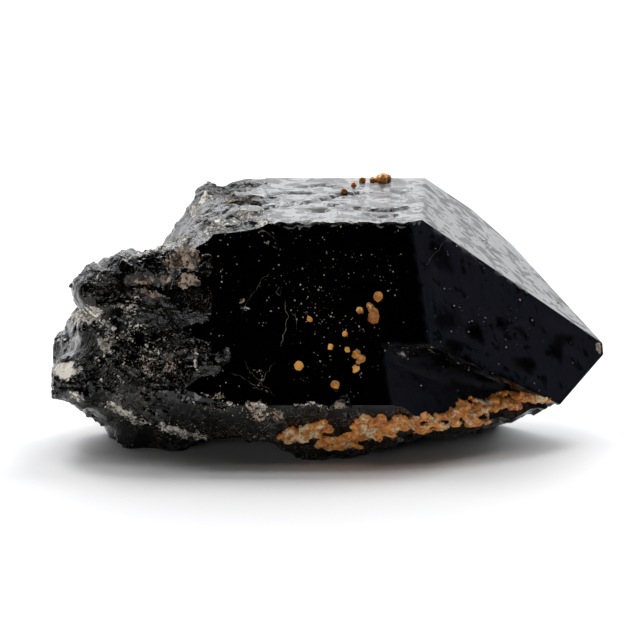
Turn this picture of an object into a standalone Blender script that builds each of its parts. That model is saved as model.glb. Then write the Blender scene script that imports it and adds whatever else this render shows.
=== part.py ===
"""Morion quartz point, a black smoky quartz crystal that lies on one prism face with its base broken off.

Lengths are millimetres and angles are degrees until the finished mesh is scaled to metres.
+X runs along the crystal to its tip, -Y is its front and +Z is up.
"""

import itertools
import math
import random

import bmesh
import bpy
from mathutils import Euler, Matrix, Vector, noise
from mathutils.bvhtree import BVHTree

# Driving sizes
MM = 0.001
HEART = Vector((0.0, 0.0, 19.0))
BIG = 150.0
SLIGHT = 1e-4
SPARE = 1.6
FINE_GRID = 1.1
GRID = 1.6
SEED = 11

# A face is its turn round the long axis (0 looks to the front, 90 looks up), its rake towards the tip,
# and its distance from the heart of the crystal.
GROWN_FACES = {
    "prism_top": (89.0, 0.0, 18.8),
    "prism_front": (29.0, 0.0, 19.5),
    "prism_front_under": (-31.0, 0.0, 27.2),
    "prism_bottom": (-90.0, 0.0, 19.0),
    "prism_back": (209.0, 0.0, 20.1),
    "prism_back_top": (149.0, 0.0, 27.5),
    "tip_top": (87.9, 38.5, 24.4),
    "tip_front": (35.7, 38.6, 24.7),
    "tip_back": (209.0, 38.2, 30.4),
    "tip_back_top": (149.0, 38.2, 36.3),
    "tip_bottom": (-91.0, 38.2, 32.2),
}
BREAKS = {
    "underside": (-74.7, 12.9, 22.0),
    "front_under_break": (-36.8, 0.0, 26.6),
    "base_top_slope": (88.0, -15.9, 20.7),
    "base_end": (80.0, -74.0, 39.3),
    "base_undercut": (-71.0, -38.0, 35.5),
    "base_front_under": (-50.6, -13.5, 27.0),
    "base_front": (28.0, -17.0, 24.6),
    "base_back_corner": (215.0, -44.0, 34.0),
}
# The corner missing behind the ridge of the base, and the low step in the front tip face
BACK_NOTCH = ((94.0, -58.0, 26.4), (137.0, -11.5, 9.8))
STEP = ((35.7, 38.6, 20.0), (-69.0, 0.0, 7.3), (-64.7, -16.3, 3.8))

# Rounded lumps and hollows of the broken base: centre and half widths
LUMPS = (
    ((-36.2, -12.5, 26.1), (4.1, 5.0, 4.4)),
    ((-39.4, -13.0, 12.2), (4.7, 8.0, 4.2)),
)
HOLLOWS = (
    ((-13.9, -16.0, -1.2), (9.8, 15.0, 5.2)),
    ((-31.5, -7.0, 36.4), (7.0, 16.0, 4.7)),
)
# The broken surface: width of its flakes, how much they tilt, the height of the ledges between them,
# and the width and depth of the small scallops on them
FLAKE = 7.0
TILT = 0.45
LEDGE = 1.7
SCALLOP = 3.6
SCALLOP_DEPTH = 0.8
# How far a scallop's rim stands up and its middle lies down, in depths, and what sets the flakes apart
CUP_RIM = 1.6
CUP_MIDDLE = 0.45
LEAN_MIX = 7.3
LEDGE_MIX = 3.1

# Garnet grains, each with its width: along and up on the front face, along and back on the top face
FRONT_GRAINS = (
    (8.3, 26.6, 1.7),
    (7.2, 24.9, 1.4),
    (7.6, 23.5, 2.1),
    (5.4, 24.6, 1.2),
    (4.9, 18.2, 1.5),
    (5.6, 17.5, 1.5),
    (4.8, 16.1, 1.3),
    (1.4, 13.7, 1.6),
    (-4.3, 16.5, 1.6),
    (3.0, 21.2, 1.0),
    (3.4, 18.9, 1.0),
    (0.7, 19.3, 1.1),
    (-2.6, 23.3, 1.0),
)
TOP_GRAINS = (
    (9.2, 17.9, 2.2),
    (9.9, 19.2, 1.5),
    (8.4, 18.9, 1.5),
    (7.6, 18.3, 1.1),
    (5.9, 17.9, 1.2),
    (4.5, 15.0, 1.0),
    (3.0, 10.0, 1.2),
)
# Patches of the crust along the lower front edge: middle along and up, then half length and half height
CRUST = (
    (-4.6, 4.9, 3.2, 1.0),
    (-1.0, 6.6, 1.8, 1.0),
    (2.4, 3.7, 3.4, 1.2),
    (6.6, 6.6, 2.6, 2.2),
    (10.6, 7.2, 2.8, 2.0),
    (15.0, 7.0, 2.4, 1.4),
    (18.4, 6.8, 1.6, 1.0),
    (20.8, 8.0, 1.6, 1.7),
    (24.6, 7.4, 2.8, 1.6),
    (28.6, 8.2, 2.4, 1.3),
    (32.6, 8.2, 2.8, 1.0),
)
# The crust's grains: usual width, smallest and largest share of it, and how many to a square of a patch
CRUST_GRAIN = 2.2
GRAIN_RANGE = (0.7, 1.25)
CRUST_COUNT = 2.1
# How far a grain's middle stands out of its face in widths, the widths across its hull, and its stretch
STAND_OUT = 0.18
HULL_WIDTH = 3.6
STRETCH = (0.85, 1.1)


def normal_of(turn, rake):
    """The outward normal of a face from its turn and rake."""
    turn, rake = math.radians(turn), math.radians(rake)
    return Vector((math.sin(rake), -math.cos(rake) * math.cos(turn), math.cos(rake) * math.sin(turn)))


def flipped(face):
    """The face seen from its other side."""
    turn, rake, distance = face
    return turn + 180.0, -rake, -distance


def block_inside(name, faces, spare=0.0):
    """The block bounded by the faces, each moved out by the spare, and by a big cube."""
    walls = [(normal_of(turn, rake), distance + spare) for turn, rake, distance in faces]
    walls += [(axis * side, BIG) for axis in Matrix.Identity(3) for side in (-1.0, 1.0)]
    shell = bmesh.new()
    for three in itertools.combinations(walls, 3):
        meet = Matrix([outward for outward, _ in three])
        if abs(meet.determinant()) < SLIGHT:
            continue
        corner = meet.inverted() @ Vector([distance for _, distance in three])
        if all(outward.dot(corner) < distance + SLIGHT for outward, distance in walls):
            shell.verts.new(HEART + corner)
    bmesh.ops.remove_doubles(shell, verts=shell.verts[:], dist=SLIGHT)
    bmesh.ops.convex_hull(shell, input=shell.verts[:])
    return object_from(name, shell)


def object_from(name, shell):
    """A new object in the scene holding the mesh."""
    bmesh.ops.recalc_face_normals(shell, faces=shell.faces[:])
    mesh = bpy.data.meshes.new(name)
    shell.to_mesh(mesh)
    shell.free()
    thing = bpy.data.objects.new(name, mesh)
    bpy.context.scene.collection.objects.link(thing)
    return thing


def pebble(name, centre, halves):
    """A rounded lump."""
    shell = bmesh.new()
    bmesh.ops.create_icosphere(shell, subdivisions=3, radius=1.0)
    place = Matrix.Translation(centre) @ Matrix.Diagonal((*halves, 1.0))
    bmesh.ops.transform(shell, matrix=place, verts=shell.verts[:])
    return object_from(name, shell)


def settle(thing):
    """Replaces the object's mesh by its modified one."""
    bpy.context.view_layer.update()
    done = bpy.data.meshes.new_from_object(thing.evaluated_get(bpy.context.evaluated_depsgraph_get()))
    thing.modifiers.clear()
    thing.data = done


def boolean(thing, other, operation, crossing=False):
    """Cuts away or joins on the other object, which then goes. Crossing says that its own pieces overlap."""
    step = thing.modifiers.new(operation.title(), "BOOLEAN")
    step.operation = operation
    step.solver = "EXACT"
    step.object = other
    step.use_self = crossing
    step.material_mode = "TRANSFER"
    settle(thing)
    bpy.data.objects.remove(other)


def rough_lump():
    """The crystal with room left on its grown faces, and its broken faces in place."""
    roomy = block_inside("grown", GROWN_FACES.values(), SPARE)
    lump = block_inside("morion_crystal", BREAKS.values())
    boolean(lump, roomy, "INTERSECT")
    boolean(lump, block_inside("notch", [flipped(face) for face in BACK_NOTCH]), "DIFFERENCE")
    return lump


def regrid(thing, size):
    """Rebuilds the surface as one closed even mesh."""
    grid = thing.modifiers.new("Grid", "REMESH")
    grid.mode = "VOXEL"
    grid.voxel_size = size
    settle(thing)


def flakes(point):
    """How far the broken surface stands out at a point: flat tilted flakes with ledges between them."""
    _, seeds = noise.voronoi(point / FLAKE)
    across = point / FLAKE - seeds[0]
    lean = noise.noise_vector(seeds[0] * LEAN_MIX)
    return FLAKE * TILT * lean.dot(across) + LEDGE * noise.noise(seeds[0] * LEDGE_MIX)


def scallops(point):
    """Small cups with sharp ridges between them."""
    near, _ = noise.voronoi(point / SCALLOP)
    return SCALLOP_DEPTH * (min(near[0], 1.0) ** 2 * CUP_RIM - CUP_MIDDLE)


def raise_by(thing, relief):
    """Moves each point of the surface out by the relief there."""
    shell = bmesh.new()
    shell.from_mesh(thing.data)
    shell.normal_update()
    moves = [(vert, vert.normal * relief(vert.co)) for vert in shell.verts]
    for vert, move in moves:
        vert.co += move
    shell.to_mesh(thing.data)
    shell.free()


def roughen(lump):
    """Breaks the surface into flakes, adds the rounded lumps and hollows, and cups it all over."""
    noise.seed_set(SEED)
    regrid(lump, FINE_GRID)
    raise_by(lump, flakes)
    regrid(lump, FINE_GRID)
    for centre, halves in LUMPS:
        boolean(lump, pebble("lump", centre, halves), "UNION")
    for centre, halves in HOLLOWS:
        boolean(lump, pebble("hollow", centre, halves), "DIFFERENCE")
    regrid(lump, FINE_GRID)
    raise_by(lump, scallops)
    regrid(lump, GRID)


def face_off(lump):
    """Cuts the grown faces into the rough lump, and the step into the front tip face."""
    boolean(lump, block_inside("faces", GROWN_FACES.values()), "INTERSECT")
    boolean(lump, block_inside("step", [flipped(face) for face in STEP]), "DIFFERENCE")


def add_garnet(shell, centre, width, dice):
    """Adds one garnet crystal, a twelve-sided grain turned at random."""
    corners = [Vector(signs) for signs in itertools.product((-1.0, 1.0), repeat=3)]
    corners += [Vector(axis) * side for axis in Matrix.Identity(3) for side in (-2.0, 2.0)]
    turn = Euler([dice.uniform(0.0, math.tau) for _ in range(3)]).to_matrix()
    stretch = Vector([dice.uniform(*STRETCH) for _ in range(3)])
    grain = [shell.verts.new(centre + turn @ (corner * stretch) * width / HULL_WIDTH) for corner in corners]
    bmesh.ops.convex_hull(shell, input=grain)


def grains_on(crystal):
    """The garnets on the front and top faces, and the crust of grains along the lower front edge."""
    dice = random.Random(SEED)
    surface = BVHTree.FromObject(crystal, bpy.context.evaluated_depsgraph_get())
    shell = bmesh.new()
    backwards, down = Vector((0.0, 1.0, 0.0)), Vector((0.0, 0.0, -1.0))
    for along, up, width in FRONT_GRAINS:
        spot, outward, _, _ = surface.ray_cast(Vector((along, -BIG, up)), backwards)
        add_garnet(shell, spot + outward * width * STAND_OUT, width, dice)
    for along, back, width in TOP_GRAINS:
        spot, outward, _, _ = surface.ray_cast(Vector((along, back, BIG)), down)
        add_garnet(shell, spot + outward * width * STAND_OUT, width, dice)
    for along, up, half_length, half_height in CRUST:
        for _ in range(max(2, round(half_length * half_height * CRUST_COUNT))):
            turn, reach = dice.uniform(0.0, math.tau), math.sqrt(dice.random())
            x = along + half_length * reach * math.cos(turn)
            z = up + half_height * reach * math.sin(turn)
            spot, outward, _, _ = surface.ray_cast(Vector((x, -BIG, z)), backwards)
            add_garnet(shell, spot, CRUST_GRAIN * dice.uniform(*GRAIN_RANGE), dice)
    return object_from("grains", shell)


def centre_on_base(thing):
    """Puts the origin under the middle of the object, at its lowest point."""
    corners = [Vector(corner) for corner in thing.bound_box]
    low = Vector([min(corner[i] for corner in corners) for i in range(3)])
    high = Vector([max(corner[i] for corner in corners) for i in range(3)])
    middle = (low + high) / 2
    thing.data.transform(Matrix.Translation((-middle.x, -middle.y, -low.z)))


def quartz(name, colour, roughness):
    """A plain stone material."""
    material = bpy.data.materials.new(name)
    material.use_nodes = True
    shader = material.node_tree.nodes["Principled BSDF"]
    shader.inputs["Base Color"].default_value = (*colour, 1.0)
    shader.inputs["Roughness"].default_value = roughness
    shader.inputs["Metallic"].default_value = 0.0
    return material


def main():
    for old in list(bpy.data.objects):
        bpy.data.objects.remove(old)
    crystal = rough_lump()
    roughen(crystal)
    face_off(crystal)
    crystal.data.materials.clear()
    crystal.data.materials.append(quartz("morion", (0.012, 0.012, 0.014), 0.15))
    grains = grains_on(crystal)
    grains.data.materials.append(quartz("garnet", (0.46, 0.20, 0.06), 0.45))
    boolean(crystal, grains, "UNION", crossing=True)
    centre_on_base(crystal)
    crystal.data.transform(Matrix.Scale(MM, 4))


main()
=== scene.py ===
"""Looks of a morion quartz point: a black glossy crystal with a broken base, garnets and a crumbly crust.

Lengths are millimetres in the code and metres in the meshes. +X runs to the tip, -Y is the front, +Z is up.
Places "in the picture" are counted in 640ths of its width, across from the left and down from the top.
"""

import itertools
import math
import random

import bmesh
import bpy
import numpy as np
from mathutils import Euler, Matrix, Vector, geometry, noise
from mathutils.bvhtree import BVHTree


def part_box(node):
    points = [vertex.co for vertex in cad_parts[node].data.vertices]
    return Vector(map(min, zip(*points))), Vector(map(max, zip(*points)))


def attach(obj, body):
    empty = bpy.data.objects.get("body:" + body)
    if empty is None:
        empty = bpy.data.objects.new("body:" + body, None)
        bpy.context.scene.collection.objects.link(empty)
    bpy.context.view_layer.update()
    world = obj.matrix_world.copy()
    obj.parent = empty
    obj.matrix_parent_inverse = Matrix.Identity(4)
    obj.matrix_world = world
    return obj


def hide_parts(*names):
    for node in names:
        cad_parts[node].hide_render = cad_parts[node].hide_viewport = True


bl_info = {
    "name": "Morion quartz point",
    "version": (1, 0, 0),
    "blender": (4, 5, 0),
    "location": "3D View > Sidebar > Morion",
    "description": "Builds a black quartz crystal with garnets on a pale floor",
    "category": "Add Mesh",
}

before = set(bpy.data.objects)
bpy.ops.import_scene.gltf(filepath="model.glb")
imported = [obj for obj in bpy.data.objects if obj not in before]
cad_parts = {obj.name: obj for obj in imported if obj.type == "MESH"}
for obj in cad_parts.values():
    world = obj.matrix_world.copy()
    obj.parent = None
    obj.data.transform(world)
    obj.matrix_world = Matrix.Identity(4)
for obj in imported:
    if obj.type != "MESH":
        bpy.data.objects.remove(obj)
NODE = "morion_crystal"
MM = 0.001

# Picture: its width in its own units, millimetres to a unit at the crystal, and where its middle looks
PICTURE = 640
UNIT = 0.16
LENS = 800.0
SENSOR = 36.0
AIM = Vector((-1.30, -12.14, 21.56))
ELEVATION = 12.0
DISTANCE = PICTURE * UNIT * LENS / SENSOR

# The crystal's heart, and the move that puts its footprint's middle at the origin
HEART = Vector((0.0, 0.0, 19.0))
OFFSET = Vector((-0.34, -0.15, 0.0))
BACKWARDS = Vector((0.0, 1.0, 0.0))
DOWN = Vector((0.0, 0.0, -1.0))
# A reach past everything, the least gap told apart, a span that is as good as none, and what the rough block
# keeps past its grown faces
BIG = 150.0
SLIGHT = 1e-4
TINY = 1e-12
SPARE = 1.6
SEED = 11
# A face is its turn round the long axis (0 looks to the front, 90 looks up), its rake towards the tip,
# and its distance from the heart
GROWN_FACES = {
    "prism_top": (89.0, 0.0, 18.8),
    "prism_front": (29.0, 0.0, 19.5),
    "prism_front_under": (-31.0, 0.0, 27.2),
    "prism_bottom": (-90.0, 0.0, 19.0),
    "prism_back": (209.0, 0.0, 20.1),
    "prism_back_top": (149.0, 0.0, 27.5),
    "tip_top": (87.9, 38.5, 24.4),
    "tip_front": (35.7, 38.6, 24.7),
    "tip_back": (209.0, 38.2, 30.4),
    "tip_back_top": (149.0, 38.2, 36.3),
    "tip_bottom": (-91.0, 38.2, 32.2),
}
BREAKS = {
    "underside": (-74.7, 12.9, 22.0),
    "front_under_break": (-36.8, 0.0, 26.6),
    "base_top_slope": (88.0, -15.9, 20.7),
    "base_end": (80.0, -74.0, 39.3),
    "base_undercut": (-71.0, -38.0, 35.5),
    "base_front_under": (-50.6, -13.5, 27.0),
    "base_front": (28.0, -17.0, 24.6),
    "base_back_corner": (215.0, -44.0, 34.0),
}
# The notch behind the hump, between two faces, and the step in the front tip face: its floor and two sides
BACK_NOTCH = ((94.0, -58.0, 26.4), (137.0, -11.5, 9.8))
STEP = ((35.7, 38.6, 20.0), (-69.0, 0.0, 7.3), (-64.7, -16.3, 3.8))
# Lumps and hollows of the base: middle and half sizes
LUMPS = (
    ((-36.2, -12.5, 26.1), (4.1, 5.0, 4.4)),
    ((-39.4, -13.0, 12.2), (4.7, 8.0, 4.2)),
)
HOLLOWS = (
    ((-13.9, -16.0, -1.2), (9.8, 15.0, 5.2)),
    ((-31.5, -7.0, 36.4), (7.0, 16.0, 4.7)),
)
# Nets of the break while it is carved: for its flakes, then for its lumps, hollows and cups
FLAKE_NET = 1.1
CUP_NET = 0.8
# Flakes of the break: width, tilt and the height of the ledges between them; cups: width, depth and form
FLAKE = 7.0
TILT = 0.45
LEDGE = 1.7
SCALLOP = 3.6
SCALLOP_DEPTH = 0.8
CUP_RIM = 1.6
CUP_MIDDLE = 0.45
# Stirs that give each flake a tilt and a ledge of its own
LEAN_MIX = 7.3
LEDGE_MIX = 3.1
NO_TILT = Vector()
# Chips of the break and facets of the crust: width and tilt of each size
CHIP_SIZES = ((3.4, 0.4), (1.5, 0.45), (0.8, 0.35))
CRUST_FACETS = ((1.5, 0.4), (0.6, 0.3))
# How far chips that look up are tilted to the front
FRONT_TILT = 0.4
# How strong the chips are from place to place (least, middle, swing, pitch), and their grain (height, pitch)
CHIP_STRENGTH = (0.2, 0.6, 0.8, 0.16)
CHIP_GRAIN = (0.06, 1.6)
# The share of the chips that a calm place loses, and how uneven sunk places are: middle, swing, pitch
CALMED = 0.85
UNEVEN = (0.75, 0.5, 1.1)
# Smoothing of the calm places: rounds, and how far a point goes to its neighbours' middle in each
SMOOTH_ROUNDS = 90
SMOOTH_PULL = 0.9
# A grown face's points: their strewing and the height of a row, in spacings
STREWN = 0.12
ROW = 0.866
# How closely a face has to turn and lie as a grown face does to be part of it
SAME_TURN = 0.9999
SAME_PLACE = 0.01
# Turn between two faces, in degrees, that makes a sharp edge
SHARP_TURN = 26.0
# How far the pieces stay inside the solid's box, in metres
WITHIN = 1e-5
# Faces with etch marks, the plainer of them without hills, and faces with a painted dim bluish reflection,
# which the step has too
ETCHED = ("prism_top", "tip_top", "prism_back", "tip_back", "prism_back_top", "tip_back_top")
PLAIN = ("tip_top", "prism_back", "tip_back", "tip_back_top")
REFLECTION_PAINTED = ("tip_front", "tip_bottom")
# Drifts of mineral and specks: pitch, the most of each mineral on the hidden side, and the fewest specks
DRIFT_PITCH = 0.14
HIDDEN_PALE = 0.5
HIDDEN_BEIGE = 0.6
FEWEST_SPECKS = 0.06

# Garnets on the front face: along, up and width
FRONT_GRAINS = (
    (8.3, 26.6, 1.7),
    (7.2, 24.9, 1.4),
    (7.6, 23.5, 2.1),
    (5.4, 24.6, 1.2),
    (4.9, 18.2, 1.5),
    (5.6, 17.5, 1.5),
    (4.8, 16.1, 1.3),
    (1.4, 13.7, 1.6),
    (-4.3, 16.5, 1.6),
    (3.0, 21.2, 1.0),
    (3.4, 18.9, 1.0),
    (0.7, 19.3, 1.1),
    (-2.6, 23.3, 1.0),
)
# Garnets on the top face: along, back and width
TOP_GRAINS = (
    (9.2, 17.9, 2.2),
    (9.9, 19.2, 1.5),
    (8.4, 18.9, 1.5),
    (7.6, 18.3, 1.1),
    (5.9, 17.9, 1.2),
    (4.5, 15.0, 1.0),
    (3.0, 10.0, 1.2),
)
# Stretches of the crust: along, up, half length and half height
CRUST = (
    (-4.6, 4.9, 3.2, 1.0),
    (-1.0, 6.6, 1.8, 1.0),
    (2.4, 3.7, 3.4, 1.2),
    (6.6, 6.6, 2.6, 2.2),
    (10.6, 7.2, 2.8, 2.0),
    (15.0, 7.0, 2.4, 1.4),
    (18.4, 6.8, 1.6, 1.0),
    (20.8, 8.0, 1.6, 1.7),
    (24.6, 7.4, 2.8, 1.6),
    (28.6, 8.2, 2.4, 1.3),
    (32.6, 8.2, 2.8, 1.0),
)
# Crust grains: width, how it varies, how many for each half length times half height, and the joining net
CRUST_GRAIN = 1.8
GRAIN_RANGE = (0.7, 1.25)
CRUST_COUNT = 5.0
CRUST_NET = 0.24
# How far a garnet's middle stands out of its face, in widths, and the corners of garnets and crust grains
STAND_OUT = 0.18
GARNET_CORNERS = 26
CRUST_CORNERS = 14
# Sizes of the crumbs on the crust and of the pale specks, and how far their tones' seed is from theirs
CRUMB_SIZES = (0.1, 0.5)
SPECK_SIZES = (0.03, 0.2)
TONE_SHIFT = 5

# Sways of the patches' borders: pitch to a millimetre, and reach in the picture
SWAYS = ((0.45, 6.0), (1.3, 3.0))
# Patches on the crystal as the picture shows them: across, down, half width, half height, turn, strength.
# First the pale mineral, then the beige, then the places that are strewn with specks
# The long thin pale strips at (180, 240), (215, 229), (150, 250) and (204, 246) run along the ridge over the
# front face: pale dust there, and partly a painted edge highlight
PALE = (
    (66, 370, 15, 9, 0, 2.0),
    (78, 397, 8, 6, 30, 0.9),
    (86, 315, 20, 10, -10, 0.85),
    (106, 335, 10, 22, -20, 0.7),
    (300, 404, 16, 3, 0, 0.8),
    (232, 402, 14, 4, 10, 0.8),
    (95, 275, 16, 8, 30, 0.35),
    (105, 375, 9, 34, -30, 0.35),
    (125, 413, 26, 7, 30, 0.7),
    (180, 432, 34, 5, 15, 0.8),
    (128, 318, 30, 26, 0, 0.35),
    (140, 350, 34, 30, 0, 0.3),
    (203, 198, 3, 9, 20, 1.1),
    (193, 211, 8, 6, -30, 1.0),
    (218, 220, 3, 3, 0, 1.4),
    (215, 196, 10, 5, 0, 0.5),
    (250, 213, 20, 5, -20, 0.6),
    (262, 222, 8, 4, 0, 0.7),
    (180, 240, 60, 6, -20, 0.5),
    (385, 195, 12, 8, 0, 0.5),
    (197, 359, 3, 15, 0, 0.8),
    (262, 380, 20, 20, 0, 0.35),
    (402, 354, 10, 3, 10, 0.7),
    (315, 404, 12, 3, 0, 0.9),
    (340, 221, 76, 1.6, 0, 0.55),
    (215, 229, 50, 3, -22, 0.55),
    (150, 250, 34, 4, -25, 0.5),
    (255, 407, 16, 9, 20, 0.5),
    (246, 309, 5, 2.2, 15, 0.9),
    (204, 246, 34, 2.2, -22, 0.5),
)
BEIGE = (
    (183, 258, 19, 12, -25, 1.2),
    (145, 280, 11, 6, -10, 1.1),
    (165, 281, 7, 6, 0, 1.1),
    (187, 281, 13, 7, 10, 1.0),
    (151, 293, 15, 5, 10, 0.9),
    (160, 365, 32, 18, 0, 0.55),
    (266, 416, 26, 9, 18, 0.7),
    (215, 396, 18, 5, 15, 0.6),
    (228, 201, 12, 3, -15, 0.9),
    (250, 199, 16, 3, -5, 0.7),
    (240, 213, 6, 3, -20, 0.9),
    (277, 416, 12, 9, 30, 0.8),
    (253, 407, 14, 8, 10, 0.8),
    (273, 244, 12, 4, 10, 0.6),
    (263, 232, 15, 6, 25, 0.5),
    (243, 300, 5, 3.2, -15, 0.9),
    (600, 348, 6, 7, 0, 1.0),
    (339, 405, 8, 3, 0, 1.0),
)
SPARKLE = (
    (345, 285, 62, 70, 0, 1.0),
    (250, 300, 60, 70, 0, 0.45),
    (150, 330, 60, 60, 0, 0.7),
    (470, 300, 60, 60, 0, 0.3),
    (340, 360, 50, 40, 0, 0.6),
    (200, 225, 30, 25, 0, 0.8),
    (310, 450, 24, 12, 0, 1.6),
    (120, 340, 40, 50, 20, 1.6),
    (90, 300, 26, 30, 0, 1.2),
    (170, 425, 60, 14, 15, 1.0),
    (404, 355, 14, 4, 0, 1.5),
    (265, 415, 50, 14, 10, 1.4),
    (214, 290, 12, 34, 0, 0.7),
    (222, 350, 26, 30, 0, 0.8),
)
# Pits and the recess under the step, with their depth in millimetres as strength
PITS = (
    (318, 210, 9, 2.5, 0, 0.3),
    (386, 210, 12, 2.2, 0, 0.3),
    (272, 221, 5, 2.4, 0, 0.6),
    (289, 221, 4, 2, 0, 0.5),
    (306, 222, 7, 2.2, 0, 0.6),
    (333, 221, 5, 1.8, 0, 0.5),
    (352, 222, 4, 2, 0, 0.5),
    (379, 221, 7, 1.6, 0, 0.5),
    (402, 221, 4, 1.6, 0, 0.5),
    (492, 374, 42, 4, 24, 0.25),
    (506, 392, 34, 4, 12, 0.3),
)
# Smooth striated flakes of the broken base, in the same columns as all the tables of patches
SMOOTH = (
    (92, 342, 13, 20, 10, 1.0),
    (122, 382, 28, 13, 45, 1.0),
    (117, 424, 32, 12, 30, 1.0),
    (70, 400, 14, 8, 20, 0.8),
    (100, 285, 10, 12, 0, 0.6),
    (230, 425, 40, 8, 5, 0.7),
)
# Places where the base is hardly chipped and stays as black as the front face
CALM = (
    (192, 300, 26, 60, 0, 1.0),
    (185, 370, 30, 40, 0, 0.9),
    (150, 335, 22, 30, 0, 0.6),
    (225, 392, 30, 16, 0, 0.9),
    (215, 245, 26, 14, 0, 0.8),
    (150, 430, 40, 8, 15, 0.6),
)
# Ledges and furrows of the broken base: half width in the picture, depth in millimetres, then their course
FURROWS = (
    (4.0, 1.3, (50, 391), (66, 389), (88, 392)),
    (3.0, -0.8, (84, 312), (105, 355), (125, 385), (150, 405)),
    (3.5, 0.9, (100, 303), (128, 300), (160, 308), (178, 330)),
    (3.0, 0.8, (96, 402), (124, 410), (150, 424), (190, 438)),
    (3.0, -0.7, (120, 403), (147, 411), (168, 426), (205, 434)),
    (3.0, 0.8, (190, 240), (176, 262), (150, 268)),
    (3.0, 0.7, (135, 350), (160, 358), (186, 352)),
    (3.0, 0.7, (140, 375), (166, 384), (200, 400), (240, 412)),
)
# Where the painted reflection of the front tip face is left out, so the face stays black: painted shade in
# the band and pocket under the step's lip, and patches that mirror less
UNREFLECTED = (
    (420, 351, 36, 5, 3, 1.5),
    (452, 362, 26, 11, 15, 1.5),
    (508, 385, 46, 7, 24, 1.5),
    (480, 393, 36, 6, 12, 1.5),
    (501, 323, 9, 6, 0, 1.0),
    (477, 332, 13, 8, 45, 1.0),
    (557, 350, 8, 10, -30, 1.0),
    (565, 339, 9, 5, 0, 1.0),
    (463, 390, 14, 5, 10, 1.0),
    (440, 255, 20, 8, 60, 0.7),
    (445, 320, 16, 12, 0, 0.7),
    (525, 365, 14, 7, 30, 0.9),
    (520, 330, 8, 4, 20, 0.8),
    (455, 345, 12, 6, 10, 0.9),
)
# Thin veins as the picture shows them: half width in millimetres, then the points that each runs through
VEINS = (
    (0.091, (285, 302), (288, 318), (284, 333), (280, 350)),
    (0.049, (291, 310), (297, 322), (296, 332)),
    (0.035, (269, 271), (256, 288), (247, 303), (240, 318)),
    (0.07, (321, 214), (314, 224), (306, 232)),
    (0.056, (291, 193), (302, 193.5), (314, 193)),
    (0.035, (244, 362), (252, 374), (262, 383), (278, 398)),
    (0.035, (276, 362), (266, 372), (262, 383)),
    (0.035, (230, 372), (244, 378), (262, 392)),
    (0.028, (446, 240), (436, 252), (422, 268)),
    (0.098, (196, 345), (197, 360), (196.5, 373)),
    (0.063, (305, 288), (309, 293)),
    (0.035, (279, 287), (277, 292), (280, 296), (282, 291), (279, 287)),
    (0.056, (243, 309), (247, 311), (249, 307)),
    (0.042, (310, 319), (305, 313), (301, 311)),
    (0.035, (256, 226), (268, 234), (279, 242)),
)
# Veins: the step between their points, how far they stand out, and their tone
VEIN_STEP = 0.35
VEIN_LIFT = 0.03
VEIN_TONE = -0.45
# Cracks in the top face: half width in the picture, depth in millimetres, then their course
CRACKS = (
    (1.6, 0.68, (283.5, 206), (294, 203), (304, 203.6), (314, 200), (329, 198.5), (340, 194), (361, 193)),
    (1.7, 0.77, (355, 208), (372, 210), (387, 210.5), (407, 208)),
    (1.5, 0.59, (267, 206.5), (276, 206)),
    (2.2, 0.85, (309, 210.5), (327, 210)),
    (1.6, 0.68, (328, 205), (338, 205.5)),
    (1.2, 0.42, (262, 197), (275, 194), (290, 193), (314, 193)),
    (1.3, 0.51, (365, 214), (380, 217), (398, 215)),
    (1.2, 0.51, (300, 187), (322, 185), (338, 187)),
    (1.4, 0.51, (389, 190), (402, 193), (412, 199)),
)

# Softboxes: their width and distance in metres, and for each its name, its turn off straight behind and its
# height in degrees, and its watts
SOFTBOX_WIDTH = 0.3
SOFTBOX_AWAY = 0.9
SOFTBOXES = (
    ("softbox_back_left", -30, 54, 3.0),
    ("softbox_back_right", 32, 54, 2.4),
    ("softbox_top", 0, 88, 0.8),
    ("softbox_left", -90, 65, 0.7),
    ("softbox_right", 90, 65, 0.5),
    ("softbox_front", 180, 65, 0.5),
    ("softbox_front_low", -155, 7, 1.0),
)


def linear(code):
    """The linear colour of a hex sRGB code."""
    parts = [int(code[i : i + 2], 16) / 255 for i in (0, 2, 4)]
    return tuple(c / 12.92 if c <= 0.04045 else ((c + 0.055) / 1.055) ** 2.4 for c in parts) + (1.0,)


# Shapes


def normal_of(turn, rake):
    """The outward normal of a face from its turn and rake."""
    turn, rake = math.radians(turn), math.radians(rake)
    return Vector((math.sin(rake), -math.cos(rake) * math.cos(turn), math.cos(rake) * math.sin(turn)))


def flipped(face):
    """The face seen from its other side."""
    turn, rake, distance = face
    return turn + 180.0, -rake, -distance


def in_scene(name, data):
    """A new object in the scene."""
    thing = bpy.data.objects.new(name, data)
    bpy.context.scene.collection.objects.link(thing)
    return thing


def object_from(name, shell):
    """A new object in the scene holding the mesh."""
    bmesh.ops.recalc_face_normals(shell, faces=shell.faces[:])
    mesh = bpy.data.meshes.new(name)
    shell.to_mesh(mesh)
    shell.free()
    return in_scene(name, mesh)


def block_inside(name, faces, spare=0.0):
    """The block bounded by the faces, each moved out by the spare, and by a big cube."""
    walls = [(normal_of(turn, rake), distance + spare) for turn, rake, distance in faces]
    walls += [(axis * side, BIG) for axis in Matrix.Identity(3) for side in (-1.0, 1.0)]
    shell = bmesh.new()
    for three in itertools.combinations(walls, 3):
        meet = Matrix([outward for outward, _ in three])
        if abs(meet.determinant()) < SLIGHT:
            continue
        corner = meet.inverted() @ Vector([distance for _, distance in three])
        if all(outward.dot(corner) < distance + SLIGHT for outward, distance in walls):
            shell.verts.new(HEART + corner)
    bmesh.ops.remove_doubles(shell, verts=shell.verts[:], dist=SLIGHT)
    bmesh.ops.convex_hull(shell, input=shell.verts[:])
    return object_from(name, shell)


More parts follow.
